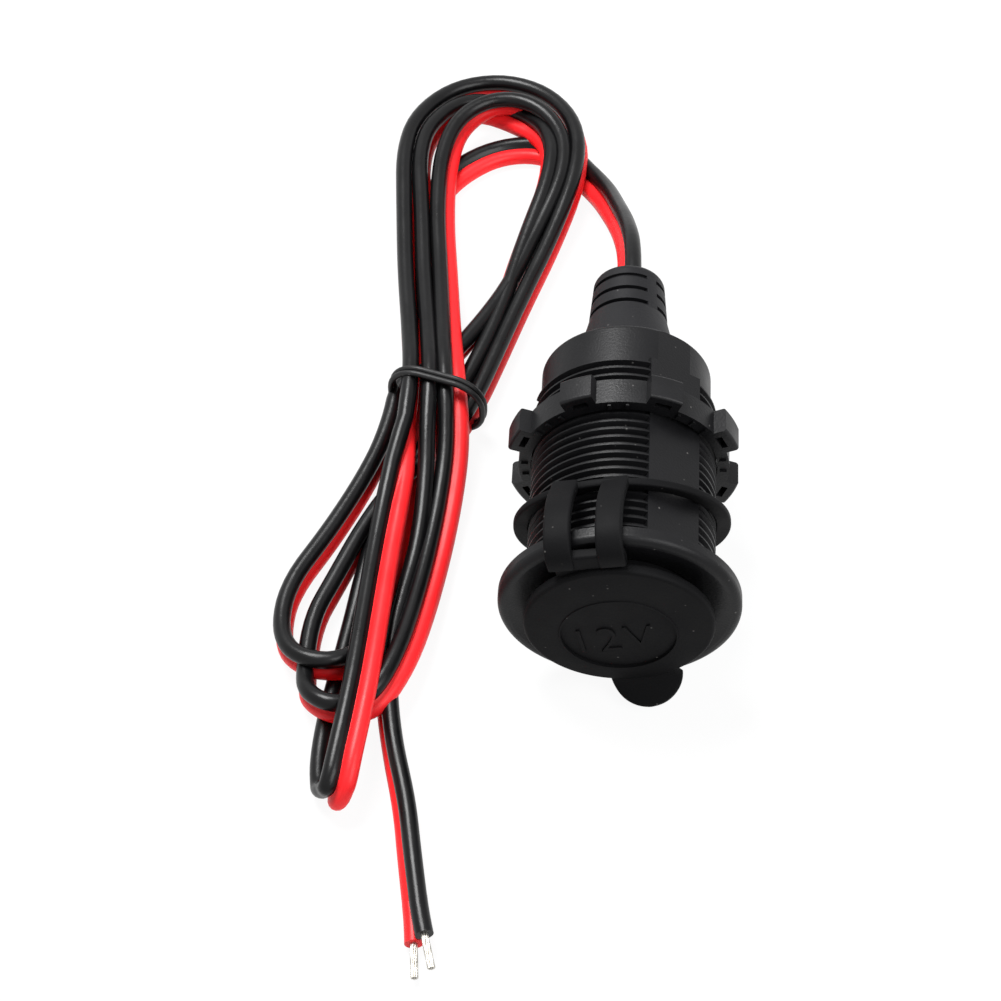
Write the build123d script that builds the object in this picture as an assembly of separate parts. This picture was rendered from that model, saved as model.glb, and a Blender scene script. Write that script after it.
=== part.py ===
from build123d import *
import math
import os

# Panel-mount 12 V accessory socket with a strapped rubber cap, a ring nut and a twin lead.
# The origin is the centre of the flange's rear face, on the socket's axis.
# The cap faces -Y, the lead leaves towards +Y, and +Z is up. Lengths are in millimetres.
# Angles round the axis start at +X and grow towards +Z.

# Contact sleeve and the pieces riveted to its bottom
PLUG_R = 10.5
SLEEVE_WALL = 0.6
SLEEVE_FIT = 0.05
SLEEVE_R = PLUG_R + SLEEVE_WALL
MOUTH_DEPTH = 3.0
LIP_SIDE_GAP = 0.25
PLUG_DEPTH = 24.0
NECK_STEP = 1.2
NECK_L = 5.0
NECK_Y = MOUTH_DEPTH + PLUG_DEPTH
SLEEVE_END = NECK_Y + NECK_L
SLEEVE_BOTTOM = 0.8
NECK_R = PLUG_R - NECK_STEP
WASHER_GAP = 1.8
WASHER_R = NECK_R - WASHER_GAP
WASHER_T = 1.0
SPIGOT_R = 3.3
SPIGOT_GAP = 0.1
STEM_R = 1.5
STEM_GAP = 0.05
BUTTON_R = 4.0
BUTTON_H = 1.8
BUTTON_EDGE = 0.7
PEEN_R = 2.6
PEEN_H = 0.8

# Housing: flange, threaded barrel and smooth rear section in one moulding
FLANGE_T = 2.4
FLANGE_EDGE = 1.1
FLANGE_LIP = 0.5
DISH_DEPTH = 1.0
CHAMBER_R = SLEEVE_R + SLEEVE_FIT
MOUTH_STEP = 1.2
MOUTH_R = SLEEVE_R + MOUTH_STEP
BARREL_WALL = 2.45
BARREL_ROOT_R = CHAMBER_R + BARREL_WALL
THREAD_DEPTH = 0.85
THREAD_R = BARREL_ROOT_R + THREAD_DEPTH
FLANGE_REACH = 4.05
FLANGE_R = THREAD_R + FLANGE_REACH
COLLAR_L = 2.2
TERMINAL_ROOM = 10.8
REAR_L = 6.9
REAR_STEP = 0.1
REAR_R = BARREL_ROOT_R - REAR_STEP
REAR_END = SLEEVE_END + TERMINAL_ROOM
THREAD_END = REAR_END - REAR_L
REAR_WALL = 1.2
REAR_EDGE = 0.8
FLAT_ANGLES = (57.0, 237.0)
FLAT_RISE = 0.08
FLAT_R = BARREL_ROOT_R + FLAT_RISE
FLAT_HALF_W = math.sqrt(THREAD_R**2 - FLAT_R**2)
REAR_FLAT_CUT = 0.35

# Strain relief at the rear
BOOT_FIT = 0.05
BOOT_BASE_T = 2.35
BOOT_BASE_GAP = 0.25
BOOT_BASE_Y = REAR_END - REAR_WALL - BOOT_FIT - BOOT_BASE_T
BOOT_HOLE_R = 9.0
BOOT_NECK_GAP = 0.1
BOOT_FOOT_STEP = 0.1
BOOT_WAIST_R = 6.45
BOOT_TIP_R = 5.75
BOOT_FLARE_L = 10.5
BOOT_L = 19.5
BOOT_END = REAR_END + BOOT_L
BOOT_EDGE = 1.3
SLOT_COUNT = 3
SLOT_PITCH = 2.85
SLOT_INSET = 2.7
SLOT_W = 0.8
SLOT_DEPTH = 1.0
BOOT_RIB_ANGLE = 53.0
BOOT_RIB_W = 1.9

# Twin lead
CORE_R = 1.4
CORE_PITCH = 2 * CORE_R
WEB_H = 1.2
LEAD_ROLL = 66.0
TAIL_ROLL = 112.0
LEAD_GAP = 0.05
LEAD_PROUD = 0.6
LEAD_INNER_START = BOOT_BASE_Y - LEAD_PROUD
BARE_R = 0.6
BARE_L = 5.5

# Tags on the centre contact and on the sleeve, and the stripped strands on them
TAG_T = 0.8
TAG_W = 4.8
TAG_REACH = 2.3
TAG_X = PEEN_R + TAG_REACH
TAG_GAP = 0.4
TAG_END = LEAD_INNER_START - TAG_GAP
WELD_REACH = 1.1
WELD_X = WASHER_R + WELD_REACH
WELD_FOOT = 1.8
BRIDGE_LIFT = 1.0
BRIDGE_Y = SLEEVE_END + WASHER_T + TAG_T + PEEN_H + BRIDGE_LIFT
STRAND_R = 0.7
STRAND_BEND = 0.9
STRAND_LAP = 2.0

# Ring nut on the barrel
NUT_BACK_ROOM = 6.7
NUT_T = 4.4
NUT_Y = THREAD_END - NUT_BACK_ROOM - NUT_T
NUT_GAP = 0.2
NUT_WALL = 1.85
NUT_BORE_R = THREAD_R + NUT_GAP
NUT_R = NUT_BORE_R + NUT_WALL
LUG_COUNT = 8
LUG_R = FLANGE_R
LUG_W = 5.2
LUG_EDGE = 0.5
LUG_START = 26.0
POCKET_W = 2.6
POCKET_H = 1.0
POCKET_DEPTH = 3.0
RIB_COUNT = 36
RIB_W = 0.5
RIB_H = 0.35
RIB_INSET = 0.4

# Rubber cap: a loose ring with two strap bars, and the lid
CAP_TURN = 12.0
RING_SLACK = 0.1
RING_W = 2.25
RING_BORE_R = THREAD_R + RING_SLACK
RING_R = RING_BORE_R + RING_W
RING_T = 1.3
RING_EDGE = 0.4
RING_Y = 13.6
RING_TILT = 13.0
STRAP_X = -1.2
STRAP_W = 4.1
STRAP_SPACING = 7.7
STRAP_T = 1.5
STRAP_CREST_Y = 0.6
STRAP_SHOULDER_Y = 4.6
STRAP_SHOULDER_DROP = 0.5
RIM_GAP = 0.35
HINGE_REACH = 0.2
HINGE_Y = -FLANGE_T - HINGE_REACH
HINGE_Z = FLANGE_R + RIM_GAP + STRAP_T / 2
HINGE_GAP = 0.6
LID_R = 14.5
LID_T = 2.0
LID_STAND = 1.1
LID_REAR = -FLANGE_T - LID_STAND
LID_FRONT = LID_REAR - LID_T
LID_EDGE = 0.6
SKIRT_GAP = 0.4
SKIRT_R = MOUTH_R - SKIRT_GAP
SKIRT_WALL = 1.5
SKIRT_CLEAR = 0.8
SKIRT_END = MOUTH_DEPTH - SLEEVE_WALL - SKIRT_CLEAR
MARK_R = 8.8
MARK_DEPTH = 0.35
MARK_SHIFT = 2.0
BAR_Y = LID_REAR - LID_T / 2
BAR_RISE = 0.9
BAR_Z = LID_R + BAR_RISE
BAR_H = 2.2
BAR_EDGE = 0.35
TAB_W = 11.2
TAB_X = 0.9
TAB_T = 1.3
TAB_OVERLAP = 1.9
TAB_NECK = 0.7
TAB_LEAN = 0.2
TAB_DROP = 2.9
TAB_FORWARD = 2.8
TAB_ROOT = (BAR_Y, TAB_OVERLAP - LID_R)
TAB_BEND = (BAR_Y - TAB_LEAN, -TAB_NECK - LID_R)
TAB_TIP = (LID_FRONT - TAB_FORWARD, -TAB_DROP - LID_R)

# Lead on the floor; the flange's rim rests on the same floor
FLOOR_Z = -FLANGE_R
LEAD_Z = FLOOR_Z + CORE_R + CORE_PITCH / 2 * math.sin(math.radians(LEAD_ROLL))
TAIL_Z = FLOOR_Z + CORE_R + CORE_PITCH / 2 * math.sin(math.radians(TAIL_ROLL))
LEAD_STRAIGHT = 7.0
LEAD_ROUTE = [
    (0.0, BOOT_END, 0.0),
    (0.0, BOOT_END + LEAD_STRAIGHT, 0.0),
    (0.0, 78.0, -4.0),
    (-2.2, 87.0, -9.5),
    (-5.0, 96.2, -14.6),
    (-9.6, 103.8, LEAD_Z),
    (-15.5, 108.3, LEAD_Z),
    (-23.5, 107.6, LEAD_Z),
    (-30.0, 103.0, LEAD_Z),
    (-34.8, 96.4, LEAD_Z),
]
TAIL_ROUTE = [
    (-35.6, 1.0, TAIL_Z),
    (-34.6, -8.5, TAIL_Z),
    (-33.0, -18.5, TAIL_Z),
    (-31.1, -28.5, TAIL_Z),
    (-29.8, -37.0, TAIL_Z),
    (-28.5, -44.5, TAIL_Z),
]
ARC_SHARE = 0.45
RED_SPLIT = 6.4
BLACK_SPLIT = 6.4

# Hank: plan circles (x, y, radius) whose hulls outline the loops, and the tied waist
WAIST = (-31.0, 46.8, 7.4)
UPPER_TOP = (-24.6, 106.4, 17.6)
UPPER_HOLE = ((-24.6, 104.2, 7.2), (-28.2, 64.0, 0.9))
LOOPS_DOWN = [
    [(-45.8, 3.2, 8.6), (-35.4, -2.4, 5.0), WAIST],
    [(-44.2, -8.2, 5.3), (-37.0, -6.0, 4.6), WAIST],
    [(-42.3, -26.9, 4.2), (-36.0, 30.0, 4.0)],
]
HANK_H = 6.2
WAIST_H = 10.6
WAIST_SPAN = 34.0
WAIST_TAPER = 12.0
HANK_EDGE = 1.6

# Tie round the waist
TIE_TURN = -20.0
TIE_W = 16.4
TIE_T = 0.9
TIE_BAND = 1.9
TIE_ROUND = 4.5
TIE_FIT = 0.05


def turned(radius_axial):
    """Solid of revolution round the socket's axis from (radius, y) points or edges."""
    return revolve(make_face(radius_axial), axis=Axis.Y)


def disc(radius, y_start, y_end):
    """Round disc on the socket's axis."""
    return turned(Polyline((0, y_start), (radius, y_start), (radius, y_end), (0, y_end), close=True))


def washer(inner, outer, y_start, y_end):
    """Flat ring on the socket's axis."""
    corners = [(inner, y_start), (outer, y_start), (outer, y_end), (inner, y_end)]
    return turned(Polyline(*corners, close=True))


def block(x_span, y_span, z_span):
    """Box between the given limits."""
    sizes = [high - low for low, high in (x_span, y_span, z_span)]
    middle = [(high + low) / 2 for low, high in (x_span, y_span, z_span)]
    return Pos(*middle) * Box(*sizes)


def round_axis(shape, angle):
    """Turn a shape made at the top of the socket to the given angle round its axis."""
    return Rot(0, 90 - angle, 0) * shape


def side_strip(points, thickness, x_span):
    """Bent strip: a line of (y, z) points given a thickness, and a width along X."""
    line = Polyline(*[(x_span[0], y, z) for y, z in points])
    start = Vector(0, *points[0])
    heading = Vector(0, *points[1]) - start
    plane = Plane(origin=line @ 0, x_dir=(1, 0, 0), z_dir=heading)
    width = x_span[1] - x_span[0]
    section = plane * (Pos(width / 2, 0) * Rectangle(width, thickness))
    return sweep(section, path=line, transition=Transition.RIGHT)


def rounded_path(points):
    """Straight runs joined by tangent arcs, each nearly as wide as its shorter run allows."""
    corners = [Vector(*p) for p in points]
    radii = []
    for before, here, after in zip(corners, corners[1:], corners[2:]):
        run_in = here - before
        run_out = after - here
        half_turn = math.radians(run_in.get_angle(run_out)) / 2
        radii.append(ARC_SHARE * min(run_in.length, run_out.length) / math.tan(half_turn))
    print("arc radii", [round(r, 1) for r in radii])
    return FilletPolyline(*corners, radius=radii)


def twin_section(grow):
    """Section of the twin lead: two round cores side by side with a web between."""
    radius = CORE_R + grow
    section = Rectangle(CORE_PITCH, WEB_H + 2 * grow)
    for side in (-1, 1):
        section += Pos(side * CORE_PITCH / 2, 0) * Circle(radius)
    return section


def core_side(heading, roll):
    """Direction from the lead's middle to its black core: right of travel, lifted by the roll."""
    right = heading.cross(Vector(0, 0, 1)).normalized()
    up = right.cross(heading)
    return right * math.cos(math.radians(roll)) + up * math.sin(math.radians(roll))


def twin_tube(points, roll):
    """Twin lead along a rounded path, with its cores turned by the roll."""
    path = rounded_path(points)
    plane = Plane(origin=path @ 0, x_dir=core_side(path % 0, roll), z_dir=path % 0)
    tube = sweep(plane * twin_section(0), path=path)
    expected = twin_section(0).area * path.length
    print("tube volume over section times length", round(tube.volume / expected, 3))
    return tube


def housing():
    front = -FLANGE_T
    edge_arc = RadiusArc((FLANGE_R - FLANGE_EDGE, front), (FLANGE_R, front + FLANGE_EDGE), -FLANGE_EDGE)
    rear_arc = RadiusArc((REAR_R, REAR_END - REAR_EDGE), (REAR_R - REAR_EDGE, REAR_END), -REAR_EDGE)
    front_line = Polyline(
        (MOUTH_R, front + DISH_DEPTH),
        (FLANGE_R - FLANGE_EDGE - FLANGE_LIP, front),
        (FLANGE_R - FLANGE_EDGE, front),
    )
    side_line = Polyline(
        (FLANGE_R, front + FLANGE_EDGE),
        (FLANGE_R, 0),
        (THREAD_R, 0),
        (THREAD_R, COLLAR_L),
        (BARREL_ROOT_R, COLLAR_L),
        (BARREL_ROOT_R, THREAD_END),
        (REAR_R, THREAD_END),
        (REAR_R, REAR_END - REAR_EDGE),
    )
    inner_line = Polyline(
        (REAR_R - REAR_EDGE, REAR_END),
        (BOOT_HOLE_R, REAR_END),
        (BOOT_HOLE_R, REAR_END - REAR_WALL),
        (CHAMBER_R, REAR_END - REAR_WALL),
        (CHAMBER_R, MOUTH_DEPTH),
        (MOUTH_R, MOUTH_DEPTH),
        (MOUTH_R, front + DISH_DEPTH),
    )
    body = turned([front_line, edge_arc, side_line, rear_arc, inner_line])
    pad_foot = CHAMBER_R + BARREL_WALL / 2
    for angle in FLAT_ANGLES:
        across = (-FLANGE_R, FLANGE_R)
        flat_pad = block((-FLAT_HALF_W, FLAT_HALF_W), (0, THREAD_END), (pad_foot, FLAT_R))
        barrel_cut = block(across, (0, THREAD_END), (FLAT_R, FLANGE_R))
        rear_cut = block(across, (THREAD_END, REAR_END), (REAR_R - REAR_FLAT_CUT, FLANGE_R))
        body += round_axis(flat_pad, angle)
        body -= round_axis(barrel_cut, angle)
        body -= round_axis(rear_cut, angle)
    return body


def contact_sleeve():
    lip_front = MOUTH_DEPTH - SLEEVE_WALL
    profile = Polyline(
        (PLUG_R, lip_front),
        (MOUTH_R - LIP_SIDE_GAP, lip_front),
        (MOUTH_R - LIP_SIDE_GAP, MOUTH_DEPTH),
        (SLEEVE_R, MOUTH_DEPTH),
        (SLEEVE_R, NECK_Y),
        (NECK_R + SLEEVE_WALL, NECK_Y + NECK_STEP),
        (NECK_R + SLEEVE_WALL, SLEEVE_END),
        (SPIGOT_R + SPIGOT_GAP, SLEEVE_END),
        (SPIGOT_R + SPIGOT_GAP, SLEEVE_END - SLEEVE_BOTTOM),
        (NECK_R, SLEEVE_END - SLEEVE_BOTTOM),
        (NECK_R, NECK_Y + NECK_STEP),
        (PLUG_R, NECK_Y),
        close=True,
    )
    return turned(profile)


def inner_insulator():
    seat = SLEEVE_END - SLEEVE_BOTTOM
    return washer(STEM_R + STEM_GAP, WASHER_R, seat - WASHER_T, seat)


def outer_insulator():
    shoulder = washer(STEM_R + STEM_GAP, WASHER_R, SLEEVE_END, SLEEVE_END + WASHER_T)
    spigot = washer(STEM_R + STEM_GAP, SPIGOT_R, SLEEVE_END - SLEEVE_BOTTOM, SLEEVE_END)
    return shoulder + spigot


def centre_contact():
    seat = SLEEVE_END - SLEEVE_BOTTOM - WASHER_T
    peen_y = SLEEVE_END + WASHER_T + TAG_T
    button = disc(BUTTON_R, seat - BUTTON_H, seat)
    front_edge = button.edges().sort_by(Axis.Y)[0]
    button = fillet(front_edge, BUTTON_EDGE)
    return button + disc(STEM_R, seat, peen_y) + disc(PEEN_R, peen_y, peen_y + PEEN_H)


def positive_terminal():
    plate_y = SLEEVE_END + WASHER_T
    reach = PEEN_R + TAG_T
    half_w = TAG_W / 2
    plate = block((-TAG_X - TAG_T / 2, reach), (plate_y, plate_y + TAG_T), (-half_w, half_w))
    blade = block((-TAG_X - TAG_T / 2, -TAG_X + TAG_T / 2), (plate_y, TAG_END), (-half_w, half_w))
    return plate + blade - disc(STEM_R + STEM_GAP, plate_y, plate_y + TAG_T)


def negative_terminal():
    half_w = TAG_W / 2
    half_t = TAG_T / 2
    foot_x = (WELD_X - WELD_FOOT / 2, WELD_X + WELD_FOOT / 2)
    foot = block(foot_x, (SLEEVE_END, SLEEVE_END + TAG_T), (-half_w, half_w))
    riser = block((foot_x[0], foot_x[0] + TAG_T), (SLEEVE_END, BRIDGE_Y + half_t), (-half_w, half_w))
    bridge_x = (TAG_X - half_t, foot_x[0] + TAG_T)
    bridge = block(bridge_x, (BRIDGE_Y - half_t, BRIDGE_Y + half_t), (-half_w, half_w))
    blade = block((TAG_X - half_t, TAG_X + half_t), (BRIDGE_Y - half_t, TAG_END), (-half_w, half_w))
    return foot + riser + bridge + blade


def conductor(side):
    """Stripped strand from the lead's core to its tag, on the side of the given sign."""
    tag_x = side * (TAG_X - TAG_T / 2 - STRAND_R - LEAD_GAP)
    core = core_side(Vector(0, 1, 0), LEAD_ROLL) * (side * CORE_PITCH / 2)
    path = FilletPolyline(
        (core.X, LEAD_INNER_START, core.Z),
        (core.X, LEAD_INNER_START - STRAND_BEND, core.Z),
        (tag_x, TAG_END - STRAND_LAP, 0),
        (tag_x, TAG_END - STRAND_LAP - STRAND_BEND, 0),
        radius=STRAND_BEND,
    )
    return sweep(Plane(origin=path @ 0, z_dir=path % 0) * Circle(STRAND_R), path=path)


def rear_boot():
    wall_front = REAR_END - REAR_WALL - BOOT_FIT
    neck_r = BOOT_HOLE_R - BOOT_NECK_GAP
    base_r = CHAMBER_R - BOOT_BASE_GAP
    foot_r = neck_r - BOOT_FOOT_STEP
    waist_y = REAR_END + BOOT_FLARE_L
    profile = Polyline(
        (0, BOOT_BASE_Y),
        (base_r, BOOT_BASE_Y),
        (base_r, wall_front),
        (neck_r, wall_front),
        (neck_r, REAR_END),
        (foot_r, REAR_END),
        (BOOT_WAIST_R, waist_y),
        (BOOT_TIP_R, BOOT_END),
        (0, BOOT_END),
        close=True,
    )
    boot = turned(profile)
    end_edge = boot.edges().filter_by(GeomType.CIRCLE).sort_by(Axis.Y)[-1]
    boot = fillet(end_edge, BOOT_EDGE)
    rib = block((-BOOT_RIB_W / 2, BOOT_RIB_W / 2), (REAR_END, BOOT_END), (-REAR_R, REAR_R))
    for i in range(SLOT_COUNT):
        slot_y = BOOT_END - SLOT_INSET - i * SLOT_PITCH
        slot = washer(BOOT_WAIST_R - SLOT_DEPTH, neck_r, slot_y - SLOT_W / 2, slot_y + SLOT_W / 2)
        boot -= slot - round_axis(rib, BOOT_RIB_ANGLE)
    return boot - extrude(lead_plane(BOOT_BASE_Y) * twin_section(LEAD_GAP), BOOT_END - BOOT_BASE_Y)


def lead_plane(y):
    """Plane across the lead where it runs straight on the socket's axis."""
    heading = Vector(0, 1, 0)
    return Plane(origin=(0, y, 0), x_dir=core_side(heading, LEAD_ROLL), z_dir=heading)


def cable_inner():
    return extrude(lead_plane(LEAD_INNER_START) * twin_section(0), BOOT_END - LEAD_INNER_START)


def lock_nut():
    rear = NUT_Y + NUT_T
    nut = disc(NUT_R, NUT_Y, rear)
    lug = block((-LUG_W / 2, LUG_W / 2), (NUT_Y, rear), (NUT_BORE_R, LUG_R + LUG_EDGE))
    pocket_z = (LUG_R + NUT_BORE_R) / 2
    pocket = block(
        (-POCKET_W / 2, POCKET_W / 2),
        (NUT_Y, NUT_Y + POCKET_DEPTH),
        (pocket_z - POCKET_H / 2, pocket_z + POCKET_H / 2),
    )
    envelope = disc(LUG_R, NUT_Y, rear)
    envelope = fillet(envelope.edges().filter_by(GeomType.CIRCLE), LUG_EDGE)
    for i in range(LUG_COUNT):
        angle = LUG_START + i * 360 / LUG_COUNT
        nut += round_axis(lug & envelope, angle)
        nut -= round_axis(pocket, angle)
    rib = block(
        (-RIB_W / 2, RIB_W / 2),
        (NUT_Y - RIB_H, NUT_Y),
        (NUT_BORE_R + RIB_INSET, NUT_R - RIB_INSET),
    )
    for i in range(RIB_COUNT):
        angle = i * 360 / RIB_COUNT
        from_lug = (angle - LUG_START) % (360 / LUG_COUNT)
        lug_half = math.degrees(LUG_W / 2 / NUT_R)
        if lug_half < from_lug < 360 / LUG_COUNT - lug_half:
            nut += round_axis(rib, angle)
    return nut - disc(NUT_BORE_R, NUT_Y - RIB_H, rear)


def strap_spans():
    """Limits along X of the two strap bars."""
    spans = []
    for side in (-1, 1):
        centre = STRAP_X + side * STRAP_SPACING / 2
        spans.append((centre - STRAP_W / 2, centre + STRAP_W / 2))
    return spans


def cap_ring():
    ring = disc(RING_R, -RING_T / 2, RING_T / 2)
    ring = fillet(ring.edges().filter_by(GeomType.CIRCLE), RING_EDGE)
    ring = Pos(0, RING_Y, 0) * Rot(RING_TILT, 0, 0) * ring
    tilt = math.radians(RING_TILT)
    middle_r = RING_R - RING_W / 2
    root = (RING_Y - middle_r * math.sin(tilt), middle_r * math.cos(tilt))
    shoulder = (STRAP_SHOULDER_Y, HINGE_Z - STRAP_SHOULDER_DROP)
    line = [root, shoulder, (STRAP_CREST_Y, HINGE_Z), (HINGE_Y, HINGE_Z)]
    for span in strap_spans():
        ring += side_strip(line, STRAP_T, span)
        knuckle = Pos(sum(span) / 2, HINGE_Y, HINGE_Z) * Rot(0, 90, 0) * Cylinder(STRAP_T / 2, STRAP_W)
        ring += knuckle
    ring -= disc(RING_BORE_R, RING_Y - RING_R, RING_Y + RING_R)
    return round_axis(ring, 90 + CAP_TURN)


def cap_lid():
    lid = disc(LID_R, LID_FRONT, LID_REAR)
    lid = fillet(lid.edges().filter_by(GeomType.CIRCLE), LID_EDGE)
    lid += washer(SKIRT_R - SKIRT_WALL, SKIRT_R, LID_REAR - LID_EDGE, SKIRT_END)
    turn = math.radians(CAP_TURN)
    mark_place = Pos(-MARK_SHIFT * math.sin(turn), 0, -MARK_SHIFT * math.cos(turn))
    lid -= mark_place * disc(MARK_R, LID_FRONT, LID_FRONT + MARK_DEPTH)
    bar_half = STRAP_SPACING / 2 + STRAP_W / 2
    bar = block(
        (STRAP_X - bar_half, STRAP_X + bar_half),
        (BAR_Y - STRAP_T / 2, BAR_Y + STRAP_T / 2),
        (LID_R - LID_T, BAR_Z + BAR_H / 2),
    )
    lid += fillet(bar.edges().filter_by(Axis.Y), BAR_EDGE)
    knuckle_room = Pos(STRAP_X, HINGE_Y, HINGE_Z) * Rot(0, 90, 0)
    knuckle_room *= Cylinder(STRAP_T / 2 + HINGE_GAP, 2 * bar_half + STRAP_SPACING)
    for span in strap_spans():
        lid += side_strip([(BAR_Y, BAR_Z), (HINGE_Y, HINGE_Z)], STRAP_T, span) - knuckle_room
    tab_span = (TAB_X - TAB_W / 2, TAB_X + TAB_W / 2)
    tab = side_strip([TAB_ROOT, TAB_BEND, TAB_TIP], TAB_T, tab_span)
    tab_centre_z = TAB_TIP[1] - TAB_T / 2 + TAB_W / 2
    outline = block(tab_span, (-FLANGE_R, 0), (tab_centre_z, 0))
    tab_end = Rot(90, 0, 0) * Cylinder(TAB_W / 2, FLANGE_R)
    outline += Pos(TAB_X, -FLANGE_R / 2, tab_centre_z) * tab_end
    lid += tab & outline
    return round_axis(lid, 90 + CAP_TURN)


def plan_hull(circles):
    """Flat face round a set of plan circles."""
    edges = []
    for x, y, radius in circles:
        edges += (Pos(x, y) * Circle(radius)).edges()
    return make_hull(edges)


def at_waist(height):
    """Place at the hank's waist, turned with the bundle, at a height over the floor."""
    return Pos(WAIST[0], WAIST[1], FLOOR_Z + height) * Rot(0, 0, TIE_TURN)


def tie_ring(fit):
    """Flat band round the waist of the hank, with the given extra all round."""
    height = WAIST_H + 2 * TIE_T
    outer = RectangleRounded(TIE_W + 2 * fit, height + 2 * fit, TIE_ROUND)
    inner = RectangleRounded(TIE_W - 2 * TIE_T - 2 * fit, WAIST_H - 2 * fit, TIE_ROUND - TIE_T)
    band = extrude(Plane.XZ * (outer - inner), TIE_BAND / 2 + fit, both=True)
    return at_waist(height / 2) * band


def cable_hank():
    plan = plan_hull([UPPER_TOP, WAIST]) - plan_hull(UPPER_HOLE)
    for circles in LOOPS_DOWN:
        plan += plan_hull(circles)
    hank = Pos(0, 0, FLOOR_Z) * extrude(plan, HANK_H)
    hank = fillet(hank.edges().group_by(Axis.Z)[-1], HANK_EDGE)
    mound_plan = SlotOverall(WAIST_SPAN, 2 * WAIST[2], rotation=90)
    mound = extrude(mound_plan, WAIST_H + TIE_T, taper=WAIST_TAPER)
    mound = fillet(mound.edges().group_by(Axis.Z)[-1], HANK_EDGE)
    hank += at_waist(0) * mound
    return hank - tie_ring(TIE_FIT)


def split_core(side, split):
    """Insulated core beyond the tail and its bare strands, on the side of the given sign."""
    last = Vector(*TAIL_ROUTE[-1])
    heading = (last - Vector(*TAIL_ROUTE[-2])).normalized()
    to_core = core_side(heading, TAIL_ROLL) * (side * CORE_PITCH / 2)
    plane = Plane(origin=last + to_core, z_dir=heading)
    core = extrude(plane * Circle(CORE_R), split)
    strands = extrude(plane.offset(split) * Circle(BARE_R), BARE_L)
    return core, strands


red_core, red_strands = split_core(-1, RED_SPLIT)
black_core, black_strands = split_core(1, BLACK_SPLIT)

NODES = {
    "housing": housing(),
    "contact_sleeve": contact_sleeve(),
    "inner_insulator": inner_insulator(),
    "outer_insulator": outer_insulator(),
    "centre_contact": centre_contact(),
    "positive_terminal": positive_terminal(),
    "negative_terminal": negative_terminal(),
    "positive_conductor": conductor(-1),
    "negative_conductor": conductor(1),
    "rear_boot": rear_boot(),
    "cable_inner": cable_inner(),
    "lock_nut": lock_nut(),
    "cap_ring": cap_ring(),
    "cap_lid": cap_lid(),
    "cable_lead": twin_tube(LEAD_ROUTE, LEAD_ROLL),
    "cable_hank": cable_hank(),
    "cable_tie": tie_ring(0),
    "cable_tail": twin_tube(TAIL_ROUTE, TAIL_ROLL),
    "red_core_end": red_core,
    "black_core_end": black_core,
    "red_wire_strands": red_strands,
    "black_wire_strands": black_strands,
}

os.makedirs("parts", exist_ok=True)
for name, shape in NODES.items():
    export_step(shape, "parts/" + name + ".step")
    print(name, len(shape.solids()), "solid, volume", round(shape.volume, 1))
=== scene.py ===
import math

import bmesh
import bpy
from mathutils import Matrix, Vector


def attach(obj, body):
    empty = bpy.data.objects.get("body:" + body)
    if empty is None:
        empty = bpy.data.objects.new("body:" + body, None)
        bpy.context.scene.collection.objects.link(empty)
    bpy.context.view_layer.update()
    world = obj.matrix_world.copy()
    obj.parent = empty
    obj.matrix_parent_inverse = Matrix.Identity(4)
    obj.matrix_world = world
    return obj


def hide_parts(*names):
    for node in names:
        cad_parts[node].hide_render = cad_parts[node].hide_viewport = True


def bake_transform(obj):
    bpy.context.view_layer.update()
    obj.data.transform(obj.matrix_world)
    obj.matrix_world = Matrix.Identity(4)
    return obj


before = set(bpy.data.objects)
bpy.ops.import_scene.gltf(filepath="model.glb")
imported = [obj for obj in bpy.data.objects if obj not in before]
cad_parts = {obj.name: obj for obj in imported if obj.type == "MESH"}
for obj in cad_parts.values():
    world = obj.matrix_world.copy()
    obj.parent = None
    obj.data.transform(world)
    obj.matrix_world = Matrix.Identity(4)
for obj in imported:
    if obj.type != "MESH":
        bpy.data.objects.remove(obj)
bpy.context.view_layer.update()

# Lengths below are in millimetres, in the part's own frame; meshes are made in metres.
MM = 0.001

# Sizes of the rigid pieces and of the lead, as in the part's source
FLOOR_Z = -18.5
ROOT_R = 13.6
CREST_R = 14.45
COLLAR_END = 2.2
THREAD_END = 35.9
FLAT_ANGLE = 57.0
FLAT_PLANE = 13.68
BOOT_END = 62.3
CORE_R = 1.4
BARE_L = 5.5
RED_SPLIT = 6.4
BLACK_SPLIT = 6.4

# The cores lie a touch closer than their diameter, where a web joins them
CORE_HALF_PITCH = 1.36

# Sizes of the soft cap, within about a millimetre of its solids
CAP_TURN = math.radians(12.0)
RING_BORE = 14.4
RING_R = 16.8
RING_T = 1.3
RING_Y = 13.6
RING_TILT = math.radians(13.0)
STRAP_X = -2.0
STRAP_W = 4.0
STRAP_T = 1.5
STRAP_SPACING = 7.7
LID_R = 14.5
LID_FRONT = -5.5
LID_REAR = -3.5
LID_EDGE = 0.7
SKIRT_R = 11.9
SKIRT_WALL = 1.5
SKIRT_END = 1.6
MARK_R = 8.8
MARK_DEPTH = 0.35
MARK_SHIFT = 2.0
MARK_RIM = 0.14

# Camera, at the photograph's viewing angle
CAMERA_EYE = (-6.01, -240.22, 350.20)
CAMERA_RIGHT = (0.99874, 0.05024, 0.0)
CAMERA_UP = (-0.04045, 0.80419, 0.59300)
CAMERA_BACK = (0.02979, -0.59225, 0.80520)
FOCAL_PIXELS = 2800.0
FRAME_PIXELS = 1001.0
SENSOR_MM = 36.0

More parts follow.
